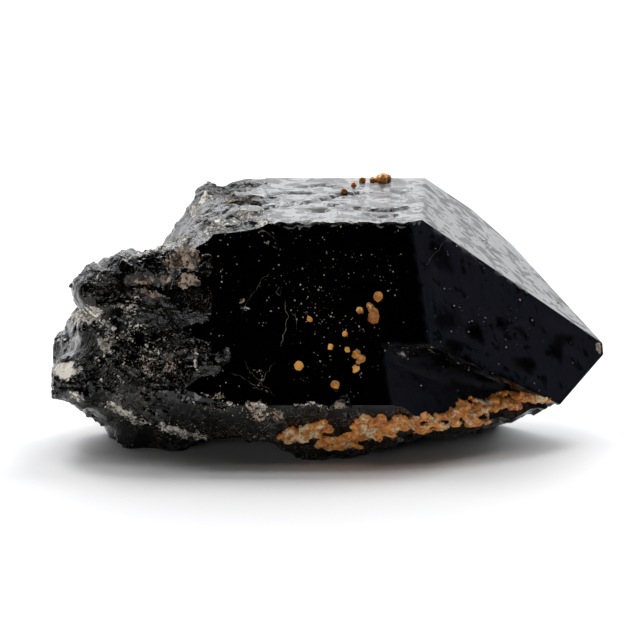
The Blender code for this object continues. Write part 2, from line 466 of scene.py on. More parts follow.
def pebble(name, centre, halves):
    """A rounded lump."""
    shell = bmesh.new()
    bmesh.ops.create_icosphere(shell, subdivisions=4, radius=1.0)
    place = Matrix.Translation(centre) @ Matrix.Diagonal((*halves, 1.0))
    bmesh.ops.transform(shell, matrix=place, verts=shell.verts[:])
    return object_from(name, shell)


def settle(thing):
    """Replaces the object's mesh by its modified one."""
    bpy.context.view_layer.update()
    done = bpy.data.meshes.new_from_object(thing.evaluated_get(bpy.context.evaluated_depsgraph_get()))
    thing.modifiers.clear()
    thing.data = done


def boolean(thing, other, operation):
    """Cuts away or joins on the other object, which then goes."""
    step = thing.modifiers.new(operation.title(), "BOOLEAN")
    step.operation = operation
    step.solver = "EXACT"
    step.object = other
    settle(thing)
    bpy.data.objects.remove(other)


def regrid(thing, size):
    """Rebuilds the surface as one closed even mesh."""
    grid = thing.modifiers.new("Grid", "REMESH")
    grid.mode = "VOXEL"
    grid.voxel_size = size
    settle(thing)


def raise_by(thing, relief):
    """Moves each point of the surface out by the relief there."""
    shell = bmesh.new()
    shell.from_mesh(thing.data)
    shell.normal_update()
    moves = [(vert, vert.normal * relief(vert.co)) for vert in shell.verts]
    for vert, move in moves:
        vert.co += move
    shell.to_mesh(thing.data)
    shell.free()


def flakes(point):
    """How far the broken surface stands out at a point: flat tilted flakes with ledges between them."""
    _, seeds = noise.voronoi(point / FLAKE)
    across = point / FLAKE - seeds[0]
    lean = noise.noise_vector(seeds[0] * LEAN_MIX)
    return FLAKE * TILT * lean.dot(across) + LEDGE * noise.noise(seeds[0] * LEDGE_MIX)


def scallops(point):
    """Cups with sharp ridges between them."""
    near, _ = noise.voronoi(point / SCALLOP)
    return SCALLOP_DEPTH * (min(near[0], 1.0) ** 2 * CUP_RIM - CUP_MIDDLE)


def facets(point, sizes, extra=NO_TILT):
    """The height of flat facets, each with a tilt of its own and the extra one, one size on the other."""
    height = 0.0
    for size, lean in sizes:
        _, seeds = noise.voronoi(point / size)
        tilt = noise.noise_vector(seeds[0] * LEAN_MIX) + extra
        height += size * lean * tilt.dot(point / size - seeds[0])
    return height


def chips(point, facing_up):
    """Fine relief of the broken surface: chips, weaker in places, on top of it tilted to the front."""
    height = facets(point, CHIP_SIZES, Vector((0.0, FRONT_TILT * facing_up, 0.0)))
    least, middle, swing, pitch = CHIP_STRENGTH
    strength = min(1.0, max(least, middle + swing * noise.noise(point * pitch)))
    grain, pitch = CHIP_GRAIN
    return height * strength + grain * noise.noise(point * pitch)


def crust_relief(point):
    """Broken grains on the crust."""
    return facets(point, CRUST_FACETS)


def distance_to(x, y, start, end):
    """How far points lie from the straight line that joins two places."""
    (x0, y0), (x1, y1) = start, end
    span = max((x1 - x0) ** 2 + (y1 - y0) ** 2, TINY)
    part = np.clip(((x - x0) * (x1 - x0) + (y - y0) * (y1 - y0)) / span, 0, 1)
    return np.hypot(x - x0 - part * (x1 - x0), y - y0 - part * (y1 - y0))


def along_lines(across, down, lines):
    """How deep the grooves that the picture shows are at each point."""
    depth = np.zeros(len(across))
    for half, deep, *corners in lines:
        for start, end in zip(corners, corners[1:]):
            here = deep * np.clip(1 - (distance_to(across, down, start, end) / half) ** 2, 0, 1)
            depth = np.where(np.abs(here) > np.abs(depth), here, depth)
    return depth


def points_of(mesh, field="co"):
    """The mesh's points, or their normals, as rows."""
    rows = np.empty(len(mesh.vertices) * 3, np.float64)
    if field == "co":
        mesh.vertices.foreach_get("co", rows)
    else:
        mesh.vertex_normals.foreach_get("vector", rows)
    return rows.reshape(-1, 3)


def edge_ends(mesh):
    """The numbers of the points at the two ends of each edge, as two rows."""
    ends = np.empty(len(mesh.edges) * 2, np.int32)
    mesh.edges.foreach_get("vertices", ends)
    return ends.reshape(-1, 2).T


def smoothed_points(mesh, co, share):
    """The mesh's points drawn to the middle of their neighbours, round after round, by each point's share."""
    one, other = edge_ends(mesh)
    count = np.bincount(one, minlength=len(co)) + np.bincount(other, minlength=len(co))
    for _ in range(SMOOTH_ROUNDS):
        for axis in range(3):
            column = co[:, axis]
            total = np.bincount(one, column[other], len(co)) + np.bincount(other, column[one], len(co))
            co[:, axis] = column + share * (total / count - column) * SMOOTH_PULL
    return co


def ridges_of(mesh):
    """How far each point stands out of its neighbours, in edge lengths."""
    co, normals = points_of(mesh), points_of(mesh, "normal")
    one, other = edge_ends(mesh)
    total, count = np.zeros_like(co), np.zeros(len(co))
    for a, b in ((one, other), (other, one)):
        np.add.at(total, a, co[b] - co[a])
        np.add.at(count, a, 1)
    lengths = np.linalg.norm(co[one] - co[other], axis=1).mean()
    return -np.einsum("ij,ij->i", total / count[:, None], normals) / lengths


def chip_breaks(thing):
    """Chips the broken surface, and sinks the pits, cracks and furrows that the picture shows.
    The face under the front one is chipped too, and so are the step's sides, all but its floor."""
    mesh = thing.data
    co, normals = points_of(mesh), points_of(mesh, "normal")
    flat = np.zeros(len(co), bool)
    unchipped = {number for number, name in enumerate(GROWN_FACES, 1) if name != "prism_front_under"}
    unchipped.add(len(GROWN_FACES) + 1)
    for face in mesh.polygons:
        if mesh.attributes["flat"].data[face.index].value in unchipped:
            flat[list(face.vertices)] = True
    across, down = in_picture(co + np.array(OFFSET))
    facing = seen_from_front(normals)
    calm = np.clip(patches(across, down, facing, SMOOTH + CALM), 0, 1) * ~flat
    co = smoothed_points(mesh, co, calm)
    sunk = patches(across, down, facing, PITS) + along_lines(across, down, CRACKS + FURROWS) * (facing > 0)
    striated = np.clip(patches(across, down, facing, SMOOTH), 0, 1)
    up = np.clip(normals[:, 2] * 2 - 0.8, 0, 1)
    moves = np.zeros(len(co))
    middle, swing, pitch = UNEVEN
    for i, point in enumerate(map(Vector, co)):
        if not flat[i]:
            moves[i] = chips(point, up[i]) * (1 - CALMED * calm[i])
        if sunk[i] != 0:
            moves[i] -= sunk[i] * (middle + swing * noise.noise(point * pitch))
    mesh.vertices.foreach_set("co", (co + normals * moves[:, None]).ravel())
    mesh.update()
    set_attribute(mesh, "flat_face", flat)
    set_attribute(mesh, "worn", up * ~flat)
    set_attribute(mesh, "striated", striated * ~flat)


def broken_block(grid):
    """The broken crystal with its grown faces cut flat."""
    crystal = block_inside("morion_quartz", BREAKS.values())
    boolean(crystal, block_inside("grown", GROWN_FACES.values(), SPARE), "INTERSECT")
    boolean(crystal, block_inside("notch", [flipped(face) for face in BACK_NOTCH]), "DIFFERENCE")
    noise.seed_set(SEED)
    regrid(crystal, FLAKE_NET)
    raise_by(crystal, flakes)
    regrid(crystal, CUP_NET)
    for centre, halves in LUMPS:
        boolean(crystal, pebble("lump", centre, halves), "UNION")
    for centre, halves in HOLLOWS:
        boolean(crystal, pebble("hollow", centre, halves), "DIFFERENCE")
    regrid(crystal, CUP_NET)
    raise_by(crystal, scallops)
    regrid(crystal, grid)
    boolean(crystal, block_inside("faces", GROWN_FACES.values()), "INTERSECT")
    boolean(crystal, block_inside("step", [flipped(face) for face in STEP]), "DIFFERENCE")
    return crystal


def flat_faces(shell):
    """The faces that lie on a grown face or on the step, with the number of that one, counted from 1."""
    walls = [(normal_of(turn, rake), distance) for turn, rake, distance in (*GROWN_FACES.values(), *STEP)]
    found = []
    for face in shell.faces:
        middle = face.calc_center_median() - HEART
        for number, (outward, distance) in enumerate(walls, 1):
            turned = abs(outward.dot(face.normal)) > SAME_TURN
            if turned and abs(abs(outward.dot(middle)) - abs(distance)) < SAME_PLACE:
                found.append((face, number))
                break
    return found


def net_within(ring, spacing, dice):
    """An even net of slightly strewn points inside a ring."""
    low = [min(p[i] for p in ring) for i in (0, 1)]
    high = [max(p[i] for p in ring) for i in (0, 1)]
    net = []
    for row in range(int((high[1] - low[1]) / (spacing * ROW)) + 1):
        for column in range(int((high[0] - low[0]) / spacing) + 1):
            x = low[0] + (column + 0.5 * (row % 2)) * spacing + dice.uniform(-STREWN, STREWN) * spacing
            y = low[1] + row * spacing * ROW + dice.uniform(-STREWN, STREWN) * spacing
            net.append(Vector((x, y)))
    return points_within(net, ring, spacing * 0.5)


def fill_face(shell, face, spacing, dice):
    """Puts an even net of triangles in the place of a large flat face."""
    flat = shell.faces.layers.int["flat"]
    number = face[flat]
    right = face.normal.orthogonal().normalized()
    up = face.normal.cross(right)
    origin = face.verts[0].co.copy()
    ring = [Vector(((v.co - origin).dot(right), (v.co - origin).dot(up))) for v in face.verts]
    net = net_within(ring, spacing, dice)
    edges = [(i, (i + 1) % len(ring)) for i in range(len(ring))]
    made = geometry.delaunay_2d_cdt(ring + net, edges, [list(range(len(ring)))], 1, 1e-6)
    points, triangles, origins = made[0], made[2], made[3]
    corners = []
    for point, sources in zip(points, origins):
        ringed = [source for source in sources if source < len(ring)]
        if ringed:
            corners.append(face.verts[ringed[0]])
        else:
            corners.append(shell.verts.new(origin + right * point.x + up * point.y))
    normal = face.normal.copy()
    bmesh.ops.delete(shell, geom=[face], context="FACES_ONLY")
    for triangle in triangles:
        three = [corners[i] for i in triangle]
        if len(set(three)) < 3:
            continue
        if (three[1].co - three[0].co).cross(three[2].co - three[0].co).dot(normal) < 0:
            three.reverse()
        if shell.faces.get(three) is None:
            shell.faces.new(three)[flat] = number


def refine_flats(thing, spacing):
    """Fills the large flat faces with even nets, and numbers them in the face attribute 'flat'."""
    shell = bmesh.new()
    shell.from_mesh(thing.data)
    flat = shell.faces.layers.int.new("flat")
    on_wall = flat_faces(shell)
    for face, number in on_wall:
        face[flat] = number
    long_edges = {edge for face, _ in on_wall for edge in face.edges if edge.calc_length() > spacing * 1.5}
    for edge in sorted(long_edges, key=lambda e: e.index):
        bmesh.ops.subdivide_edges(shell, edges=[edge], cuts=int(edge.calc_length() / spacing))
    dice = random.Random(SEED)
    for face in [face for face in shell.faces if face[flat]]:
        if face.calc_area() >= 4 * spacing * spacing:
            fill_face(shell, face, spacing, dice)
    bmesh.ops.triangulate(shell, faces=[face for face in shell.faces if len(face.verts) > 3])
    shell.normal_update()
    shell.to_mesh(thing.data)
    shell.free()


def points_within(points, ring, margin):
    """The points that lie inside the ring and clear of it by the margin."""
    x, y = np.array(points).T
    ring = np.array(ring)
    inside = np.zeros(len(x), bool)
    nearest = np.full(len(x), np.inf)
    for (ax, ay), (bx, by) in zip(ring, np.roll(ring, -1, axis=0)):
        crossing = (ay > y) != (by > y)
        with np.errstate(divide="ignore", invalid="ignore"):
            inside ^= crossing & (x < (bx - ax) * (y - ay) / (by - ay) + ax)
        nearest = np.minimum(nearest, distance_to(x, y, (ax, ay), (bx, by)))
    return [point for point, ok in zip(points, inside & (nearest > margin)) if ok]


# The picture


def camera_matrix():
    """Where the camera stands and how it is turned, in millimetres."""
    tip = math.radians(ELEVATION)
    ahead = Vector((0.0, math.cos(tip), -math.sin(tip)))
    turn = ahead.to_track_quat("-Z", "Y").to_matrix().to_4x4()
    return Matrix.Translation(AIM - ahead * DISTANCE) @ turn


def in_picture(points):
    """Where points in millimetres fall in the picture."""
    turn = np.array(camera_matrix().inverted())
    local = points @ turn[:3, :3].T + turn[:3, 3]
    scale = PICTURE * LENS / SENSOR / -local[:, 2]
    return PICTURE / 2 + local[:, 0] * scale, PICTURE / 2 - local[:, 1] * scale


def ray_to(across, down):
    """The camera's place and the direction in which it sees that place in the picture."""
    place = camera_matrix()
    reach = LENS / SENSOR * PICTURE
    local = Vector((across - PICTURE / 2, PICTURE / 2 - down, -reach))
    return place.translation, (place.to_3x3() @ local).normalized()


def seen_from_front(normals):
    """How far each normal turns to the camera."""
    tip = math.radians(ELEVATION)
    return normals @ np.array([0.0, -math.cos(tip), math.sin(tip)])


def patches(across, down, facing, table, sway=None):
    """How strongly each point lies in the table's patches, for points that face the camera.
    The sway bends the patches' borders, less on the narrow ones."""
    total = np.zeros(len(across))
    for x, y, half_x, half_y, turn, strength in table:
        c, s = math.cos(math.radians(turn)), math.sin(math.radians(turn))
        dx, dy = across - x, down - y
        if sway is not None:
            bend = min(1.0, min(half_x, half_y) / 8)
            dx, dy = dx + sway[:, 0] * bend, dy + sway[:, 2] * bend
        u, v = dx * c + dy * s, dy * c - dx * s
        total = np.maximum(total, strength * np.clip(1.3 - (u / half_x) ** 2 - (v / half_y) ** 2, 0, 1))
    return total * np.clip(facing * 3, 0, 1)


def set_attribute(mesh, name, values):
    """Stores a number for each point of the mesh."""
    layer = mesh.attributes.new(name, "FLOAT", "POINT")
    layer.data.foreach_set("value", np.asarray(values, np.float32))


# Materials


class Tree:
    """A node tree to which nodes are added with their settings and links."""

    def __init__(self, tree):
        self.tree = tree

    def set(self, node, **sockets):
        """Links or sets a node's sockets. Each goes by its name, with _ for a space, or by _ and number."""
        for key, value in sockets.items():
            socket = node.inputs[int(key[1:]) if key[0] == "_" else key.replace("_", " ")]
            if isinstance(value, bpy.types.NodeSocket):
                self.tree.links.new(value, socket)
            else:
                socket.default_value = value

    def add(self, kind, settings=None, **sockets):
        node = self.tree.nodes.new(kind)
        for key, value in (settings or {}).items():
            setattr(node, key, value)
        self.set(node, **sockets)
        return node

    def math(self, operation, a, b=0.0, c=0.0):
        return self.add("ShaderNodeMath", {"operation": operation}, _0=a, _1=b, _2=c).outputs[0]

    def plus(self, a, b):
        return self.math("ADD", a, b)

    def times(self, a, b, more=None):
        """The product of two values, with a third added to it if there is one."""
        return self.math("MULTIPLY", a, b) if more is None else self.math("MULTIPLY_ADD", a, b, more)

    def ramp(self, value, low, high, to_low=0.0, to_high=1.0):
        """A smooth step from one number to another between two values."""
        node = self.add("ShaderNodeMapRange", {"interpolation_type": "SMOOTHSTEP"}, Value=value)
        self.set(node, From_Min=low, From_Max=high, To_Min=to_low, To_Max=to_high)
        return node.outputs[0]

    def mix(self, factor, a, b):
        """A mix of two colours, given as hex codes, or of two values."""
        a, b = (linear(one) if isinstance(one, str) else one for one in (a, b))
        return self.add("ShaderNodeMix", {"data_type": "RGBA"}, _0=factor, _6=a, _7=b).outputs[2]

    def spot(self):
        return self.add("ShaderNodeTexCoord").outputs["Object"]

    def attribute(self, name):
        return self.add("ShaderNodeAttribute", {"attribute_name": name}).outputs["Fac"]

    def noise(self, where, scale, detail=3.0, roughness=0.55, distortion=0.0):
        sockets = dict(Vector=where, Scale=scale, Detail=detail, Roughness=roughness, Distortion=distortion)
        return self.add("ShaderNodeTexNoise", None, **sockets).outputs["Fac"]

    def cells(self, where, scale, warp):
        """A random number for each angular cell, whose borders are bent by noise."""
        bend = self.add("ShaderNodeTexNoise", None, Vector=where, Scale=scale, Detail=2.0).outputs["Color"]
        bent = self.vector("MULTIPLY_ADD", _0=bend, _1=(warp,) * 3, _2=where)
        cell = self.add("ShaderNodeTexVoronoi", None, Vector=bent, Scale=scale).outputs["Color"]
        return self.add("ShaderNodeSeparateColor", None, _0=cell).outputs[0]

    def vector(self, operation, **sockets):
        return self.add("ShaderNodeVectorMath", {"operation": operation}, **sockets).outputs[0]

    def random(self, seed):
        """A random number from 0 to 1 for each point."""
        return self.add("FunctionNodeRandomValue", {"data_type": "FLOAT"}, Seed=seed).outputs[1]

    def random_vector(self, seed, low, high):
        settings = {"data_type": "FLOAT_VECTOR"}
        return self.add("FunctionNodeRandomValue", settings, Min=low, Max=high, Seed=seed).outputs[0]


def new_material(name):
    """A material with only a Principled shader, and its tree."""
    material = bpy.data.materials.new(name)
    material.use_nodes = True
    tree = Tree(material.node_tree)
    return material, tree, tree.tree.nodes["Principled BSDF"]


def morion_material():
    """Black quartz: glossy grown faces with etch marks, rougher breaks with pale and brown mineral."""
    material, t, shader = new_material("morion_quartz")
    spot = t.spot()
    flat, etched, plain = t.attribute("flat_face"), t.attribute("etched"), t.attribute("plain")
    # Mineral lies in angular scraps of two sizes, more of them in its patches, and clings to ridges, where
    # the pale is dust and partly a painted highlight
    large = t.noise(spot, 420.0, 3.0, 0.55, 0.5)
    fine = t.noise(spot, 3600.0, 3.0, 0.6)
    scraps = t.times(t.cells(spot, 900.0, 0.0006), 0.25)
    scraps = t.times(t.cells(spot, 2600.0, 0.0003), 0.25, scraps)
    scraps = t.times(t.ramp(fine, 0.35, 0.65), 0.25, scraps)
    blotch = t.times(t.ramp(large, 0.35, 0.65), 0.3, scraps)
    ridge = t.times(t.attribute("ridge"), 0.24)
    near_pale = t.times(t.attribute("pale"), 0.62, ridge)
    pale = t.ramp(t.times(blotch, 0.55, near_pale), 0.64, 0.7)
    near_beige = t.times(t.attribute("beige"), 0.62)
    beige = t.ramp(t.times(blotch, 0.55, near_beige), 0.64, 0.7)
    black = t.mix(t.ramp(large, 0.5, 0.75), "020202", "080706")
    dust = t.times(t.ramp(fine, 0.52, 0.68), t.ramp(t.noise(spot, 300.0, 2.0), 0.42, 0.62))
    black = t.mix(dust, black, "6e675c")
    black = t.mix(t.times(t.attribute("worn"), t.ramp(fine, 0.3, 0.7)), black, "1a1a1c")
    # Painted reflection: a dim bluish grey on the tip's front and bottom faces and on the step, in place of
    # what they mirror
    painted_reflection = t.times(t.attribute("painted_reflection"), t.ramp(t.noise(spot, 620.0, 2.0), 0.36, 0.42, 0.3, 1.0))
    black = t.mix(flat, black, t.mix(painted_reflection, "010101", "1b1c23"))
    shade = t.cells(spot, 1700.0, 0.0005)
    mottle = t.ramp(t.times(fine, 0.6, t.times(shade, 0.4)), 0.3, 0.75)
    thick = t.times(t.math("SUBTRACT", t.attribute("pale"), 0.8), 1.2)
    cream = t.mix(t.plus(mottle, t.math("MAXIMUM", thick, 0.0)), "33332f", "fbf2e4")
    tan = t.mix(mottle, "17110d", "c2ab94")
    colour = t.mix(pale, t.mix(beige, black, tan), cream)
    # Etch marks: flakes that lie a little lower and duller than the rest, on faces without hills the most
    etch = t.noise(spot, 430.0, 3.0, 0.6, 0.6)
    marks = t.times(t.ramp(etch, 0.51, 0.54), t.times(plain, 0.2, t.times(etched, 0.8)))
    flow = t.noise(spot, 230.0, 5.0, 0.62, 0.9)
    rough = t.times(marks, 0.4, t.ramp(flow, 0.3, 0.75, 0.05, 0.14))
    broken_rough = t.times(t.attribute("worn"), 0.15, t.ramp(large, 0.35, 0.7, 0.03, 0.12))
    crystal_rough = t.mix(flat, broken_rough, rough)
    mineral = t.math("MAXIMUM", pale, beige)
    dull = t.mix(mineral, crystal_rough, (0.7, 0.7, 0.7, 1.0))
    # Relief in metres: hills and etch steps on grown faces, grain, lumps and striae on the breaks
    hills = t.times(t.math("SUBTRACT", etched, t.times(plain, 0.9)), 0.00045)
    waves = t.times(flow, t.plus(hills, 0.00002))
    smooth_relief = t.times(marks, -0.00004, waves)
    turned = t.add("ShaderNodeVectorRotate", {"rotation_type": "Y_AXIS"}, Vector=spot, Angle=0.9).outputs[0]
    drawn = t.vector("MULTIPLY", _0=turned, _1=(0.1, 0.6, 1.0))
    striae = t.times(t.noise(drawn, 2400.0, 3.0, 0.6), t.times(t.attribute("striated"), 0.0003))
    crumbs = t.times(fine, t.times(t.attribute("worn"), 0.00008, 0.000015))
    lumps = t.times(t.attribute("worn"), 0.00022, 0.00009)
    crumbs = t.times(t.noise(spot, 1300.0, 2.0), lumps, crumbs)
    rough_relief = t.plus(t.times(large, 0.0002, crumbs), striae)
    relief = t.times(mineral, 0.00008, t.mix(flat, rough_relief, smooth_relief))
    bump = t.add("ShaderNodeBump", None, Strength=1.0, Distance=1.0, Height=relief).outputs[0]
    t.set(shader, Base_Color=colour, Roughness=dull, IOR=1.46, Normal=bump)
    return material


def garnet_material(name, dark, light, pale, pale_from, roughness):
    """Garnet: glassy orange to cream, each grain in its own tone, paler on its skin, and painted shade, dark
    brown, in its dents.
    """
    material, t, shader = new_material(name)
    spot = t.spot()
    cloud = t.noise(spot, 700.0, 4.0, 0.6)
    colour = t.mix(t.ramp(t.times(t.attribute("tone"), 0.4, cloud), 0.4, 0.9), dark, light)
    skin = t.times(t.cells(spot, 800.0, 0.0008), 0.25, t.noise(spot, 360.0, 4.0, 0.6, 0.5))
    colour = t.mix(t.ramp(skin, pale_from, pale_from + 0.1), colour, pale)
    # Painted shade: dark brown where the surface is hollow
    colour = t.mix(t.attribute("crevice_shade"), colour, "38200f")
    grain = t.noise(spot, 4200.0, 3.0)
    bump = t.add("ShaderNodeBump", None, Strength=0.8, Distance=0.0002, Height=grain).outputs[0]
    t.set(shader, Base_Color=colour, Roughness=roughness, IOR=1.6, Normal=bump)
    t.set(shader, Subsurface_Weight=0.45, Subsurface_Radius=(1.0, 0.45, 0.2), Subsurface_Scale=0.0006)
    return material


def pale_material(name, dark, light):
    """Pale mineral dust and threads: dull, from grey to cream."""
    material, t, shader = new_material(name)
    colour = t.mix(t.plus(t.times(t.attribute("tone"), 0.6), t.noise(t.spot(), 3000.0)), dark, light)
    t.set(shader, Base_Color=colour, Roughness=0.55, IOR=1.55)
    return material


def floor_material():
    """A white matt tabletop."""
    material, t, shader = new_material("white_tabletop")
    t.set(shader, Base_Color=t.mix(t.noise(t.spot(), 30.0), "f4f4f5", "f8f8f8"), Roughness=0.7)
    return material


# Pieces


def in_place(thing):
    """Moves a finished piece over its footprint, turns it to metres and keeps it within the solid's box."""
    thing.data.transform(Matrix.Scale(MM, 4) @ Matrix.Translation(OFFSET))
    low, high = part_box(NODE)
    count = len(thing.data.vertices)
    points = np.empty(count * 3, np.float32)
    thing.data.vertices.foreach_get("co", points)
    points = np.clip(points.reshape(-1, 3), np.array(low) + WITHIN, np.array(high) - WITHIN)
    thing.data.vertices.foreach_set("co", points.ravel())
    thing.data.update()


def drift_of(points, pitch):
    """A random vector at each point that changes smoothly, in a millimetre by about the pitch."""
    return np.array([noise.noise_vector(Vector(point) * pitch) for point in points])


def mark_crystal(thing):
    """Stores on which faces of the crystal etch marks and the painted reflection lie, and where mineral and
    specks do.
    """
    mesh = thing.data
    flat = np.empty(len(mesh.vertices), np.float32)
    mesh.attributes["flat_face"].data.foreach_get("value", flat)
    names = list(GROWN_FACES)
    kinds = {"etched": ETCHED, "plain": PLAIN, "painted_reflection": REFLECTION_PAINTED}
    numbers = {kind: {names.index(member) + 1 for member in members} for kind, members in kinds.items()}
    numbers["painted_reflection"].update(range(len(names) + 1, len(names) + 1 + len(STEP)))
    marks = {kind: np.zeros(len(flat)) for kind in kinds}
    for face in mesh.polygons:
        number = mesh.attributes["flat"].data[face.index].value
        for kind in kinds:
            if number in numbers[kind]:
                marks[kind][list(face.vertices)] = 1.0
    co, normals = points_of(mesh) + np.array(OFFSET), points_of(mesh, "normal")
    across, down = in_picture(co)
    facing = seen_from_front(normals)
    sway = sum(drift_of(co, pitch) * reach for pitch, reach in SWAYS)
    # The painted reflection is left out in patches, which paints shade in the recess under the step's lip
    marks["painted_reflection"] *= 1.0 - np.clip(patches(across, down, facing, UNREFLECTED, sway), 0, 1)
    # Pale on ridges: dust on the chipped edges, and partly a painted highlight along them
    marks["ridge"] = np.clip(ridges_of(mesh) * 5.0, 0, 1) * (1 - flat)
    # Mineral also lies in drifts on the side that the picture doesn't show
    hidden = np.clip(0.2 - facing * 2, 0, 1) * (1 - flat)
    drift = drift_of(co, DRIFT_PITCH)
    for name, table, axis, most in (("pale", PALE, 0, HIDDEN_PALE), ("beige", BEIGE, 1, HIDDEN_BEIGE)):
        unseen = hidden * np.clip(drift[:, axis] * 2 - 0.1, 0, most)
        marks[name] = patches(across, down, facing, table, sway) + unseen
    marks["sparkle"] = patches(across, down, facing, SPARKLE, sway) + FEWEST_SPECKS
    marks["sparkle"] *= np.clip(0.7 + 2.4 * drift[:, 2], 0.12, 2)
    for name, values in marks.items():
        set_attribute(mesh, name, values)


def surface_of(thing):
    """A search tree of an object's surface."""
    return BVHTree.FromObject(thing, bpy.context.evaluated_depsgraph_get())


def random_way(dice):
    """A direction that is as likely as any other."""
    return Vector([dice.gauss(0.0, 1.0) for _ in range(3)]).normalized()


def add_hull(shell, corners):
    """Closes a grain around its corners."""
    hull = bmesh.ops.convex_hull(shell, input=corners)
    loose = [item for item in hull["geom_interior"] if isinstance(item, bmesh.types.BMVert)]
    bmesh.ops.delete(shell, geom=loose, context="VERTS")


def add_crust_grain(shell, centre, width, dice):
    """Adds one scrap of the crust, drawn out along the crystal."""
    turn = Euler([dice.uniform(-0.5, 0.5) for _ in range(3)]).to_matrix()
    halves = Vector((dice.uniform(0.6, 1.1), dice.uniform(0.35, 0.5), dice.uniform(0.3, 0.55))) * width
    ways = [random_way(dice) for _ in range(CRUST_CORNERS)]
    add_hull(shell, [shell.verts.new(centre + turn @ (way * halves)) for way in ways])


def add_nodule(shell, tone_layer, centre, width, dice):
    """Adds one garnet of many small worn faces, with one or two smaller ones grown against it."""
    tone = dice.random()
    lobes = [(centre, width)]
    for _ in range(dice.choice((0, 1, 1, 2))):
        way = Vector([dice.uniform(-1.0, 1.0) for _ in range(3)]).normalized()
        lobes.append((centre + way * width * 0.42, width * dice.uniform(0.45, 0.75)))
    for middle, size in lobes:
        grain = []
        for _ in range(GARNET_CORNERS):
            way = random_way(dice)
            grain.append(shell.verts.new(middle + way * size * dice.uniform(0.47, 0.53)))
        for vert in grain:
            vert[tone_layer] = min(1.0, max(0.0, tone + dice.uniform(-0.15, 0.15)))
        add_hull(shell, grain)


def scatter(source, name, material, density, sizes, seed, mask):
    """Grains strewn over a surface by Geometry Nodes, more where the mask is high, as a plain mesh object."""
    tree = bpy.data.node_groups.new(name, "GeometryNodeTree")
    t = Tree(tree)
    values = {"Density": density, "Smallest": sizes[0], "Largest": sizes[1], "Seed": seed}
    add_socket = tree.interface.new_socket
    add_socket("Geometry", in_out="INPUT", socket_type="NodeSocketGeometry")
    ids = {}
    for key in values:
        kind = "NodeSocketInt" if key == "Seed" else "NodeSocketFloat"
        ids[key] = add_socket(key, in_out="INPUT", socket_type=kind).identifier
    add_socket("Geometry", in_out="OUTPUT", socket_type="NodeSocketGeometry")
    given = t.add("NodeGroupInput").outputs
    start = given["Seed"]
    named = t.add("GeometryNodeInputNamedAttribute", {"data_type": "FLOAT"}, Name=mask).outputs["Attribute"]
    spread = dict(Mesh=given["Geometry"], Density=t.times(named, given["Density"]), Seed=start)
    spots = t.add("GeometryNodeDistributePointsOnFaces", None, **spread).outputs["Points"]
    stone = t.add("GeometryNodeMeshIcoSphere", None, Radius=1.0, Subdivisions=1).outputs[0]
    turn = t.random_vector(start, (0.0,) * 3, (math.tau,) * 3)
    # Small grains are far more common than large ones, and all are a little flattened
    pick = t.math("POWER", t.random(start), 2.5)
    radius = t.plus(given["Smallest"], t.times(pick, t.math("SUBTRACT", given["Largest"], given["Smallest"])))
    squash = t.random_vector(start, (0.6, 0.6, 0.4), (1.2, 1.0, 0.8))
    scale = t.vector("SCALE", _0=squash, Scale=radius)
    placed = dict(Points=spots, Instance=stone, Rotation=turn, Scale=scale)
    strewn = t.add("GeometryNodeInstanceOnPoints", None, **placed).outputs[0]
    stored = {"data_type": "FLOAT", "domain": "INSTANCE"}
    toned = dict(Geometry=strewn, Name="tone", Value=t.random(seed + TONE_SHIFT))
    strewn = t.add("GeometryNodeStoreNamedAttribute", stored, **toned).outputs[0]
    real = t.add("GeometryNodeRealizeInstances", None, Geometry=strewn).outputs[0]
    done = t.add("GeometryNodeSetMaterial", None, Geometry=real, Material=material).outputs[0]
    t.add("NodeGroupOutput", None, _0=done)
    copy = in_scene(name, source.data.copy())
    step = copy.modifiers.new(name, "NODES")
    step.node_group = tree
    for key, value in values.items():
        step[ids[key]] = value
    settle(copy)
    return copy


def add_vein(shell, tone_layer, path, half):
    """Adds a thin flattened thread along a path of (point, outward) pairs, tapering at both ends."""
    rings = []
    for i, (point, outward) in enumerate(path):
        ahead = (path[min(i + 1, len(path) - 1)][0] - path[max(i - 1, 0)][0]).normalized()
        side = ahead.cross(outward).normalized()
        taper = math.sin(math.pi * (i + 0.35) / (len(path) - 0.3)) ** 0.5
        wide = half * taper * max(0.15, 0.6 + 1.1 * noise.noise(point * 1.9))
        offsets = (side * wide, outward * VEIN_LIFT, -side * wide, -outward * VEIN_LIFT)
        rings.append([shell.verts.new(point + offset) for offset in offsets])
    for vert in itertools.chain(*rings):
        vert[tone_layer] = VEIN_TONE
    for a, b in zip(rings, rings[1:]):
        for i in range(4):
            shell.faces.new((a[i], a[(i + 1) % 4], b[(i + 1) % 4], b[i]))
    shell.faces.new(rings[0])
    shell.faces.new(rings[-1][::-1])


def path_on(surface, corners):
    """Points and normals on a surface along a line that the picture shows, bent a little to and fro."""
    found = []
    for (x0, y0), (x1, y1) in zip(corners, corners[1:]):
        count = max(2, int(math.hypot(x1 - x0, y1 - y0) * UNIT / VEIN_STEP))
        for i in range(count):
            part = i / count
            eye, ahead = ray_to(x0 + (x1 - x0) * part, y0 + (y1 - y0) * part)
            spot = surface.ray_cast(eye - OFFSET, ahead)[0]
            if spot is not None:
                found.append(spot)
    bent = [p + noise.noise_vector(p * 0.9) * 0.35 + noise.noise_vector(p * 2.6) * 0.15 for p in found]
    return [surface.find_nearest(p)[:2] for p in bent]


